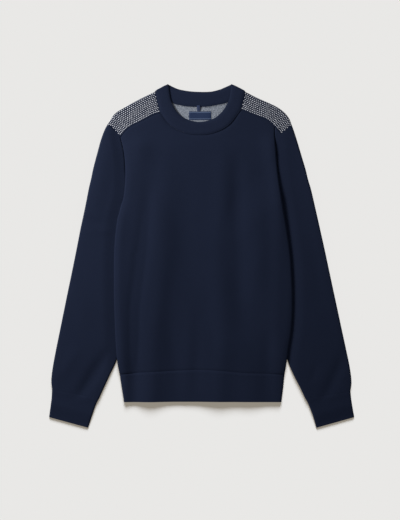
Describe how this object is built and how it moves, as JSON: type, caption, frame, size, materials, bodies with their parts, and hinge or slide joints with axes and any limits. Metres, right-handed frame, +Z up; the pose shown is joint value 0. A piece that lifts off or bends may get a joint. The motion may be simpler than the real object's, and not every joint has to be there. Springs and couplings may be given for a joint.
{
  "type": "crewneck sweater",
  "caption": "Navy long-sleeved crewneck sweater laid flat, with bird's-eye jacquard shoulder panels, ribbed neck, hem and cuffs, and a flecked back yoke showing in the neck.",
  "frame": {"origin": "middle of the box round the sweater, on the surface it lies on", "axes": "+Y towards the neck, +X towards the picture's right, +Z up from the surface, out of the front"},
  "size_m": [0.6706, 0.7556, 0.0116],
  "materials": {
    "body_knit": "navy fine-gauge cotton knit, matte",
    "sleeve_knit": "navy fine-gauge cotton knit, matte",
    "rib_knit": "navy fine rib knit, matte",
    "birdseye_jacquard": "navy knit with pale grey bird's-eye stitches, matte",
    "yoke_reverse": "grey flecked reverse of the jacquard, matte",
    "label_weave": "navy woven label, left plain",
    "loop_tape": "blue-grey woven tape"
  },
  "bodies": {
    "root": {"front": "body_knit", "back": "body_knit", "back_yoke": "yoke_reverse", "sleeve_left": "sleeve_knit", "sleeve_right": "sleeve_knit", "shoulder_panel_left": "birdseye_jacquard", "shoulder_panel_right": "birdseye_jacquard", "neck_rib": "rib_knit", "hem_band": "rib_knit", "cuff_left": "rib_knit", "cuff_right": "rib_knit", "neck_label": "label_weave", "hanging_loop": "loop_tape"}
  },
  "joints": []
}
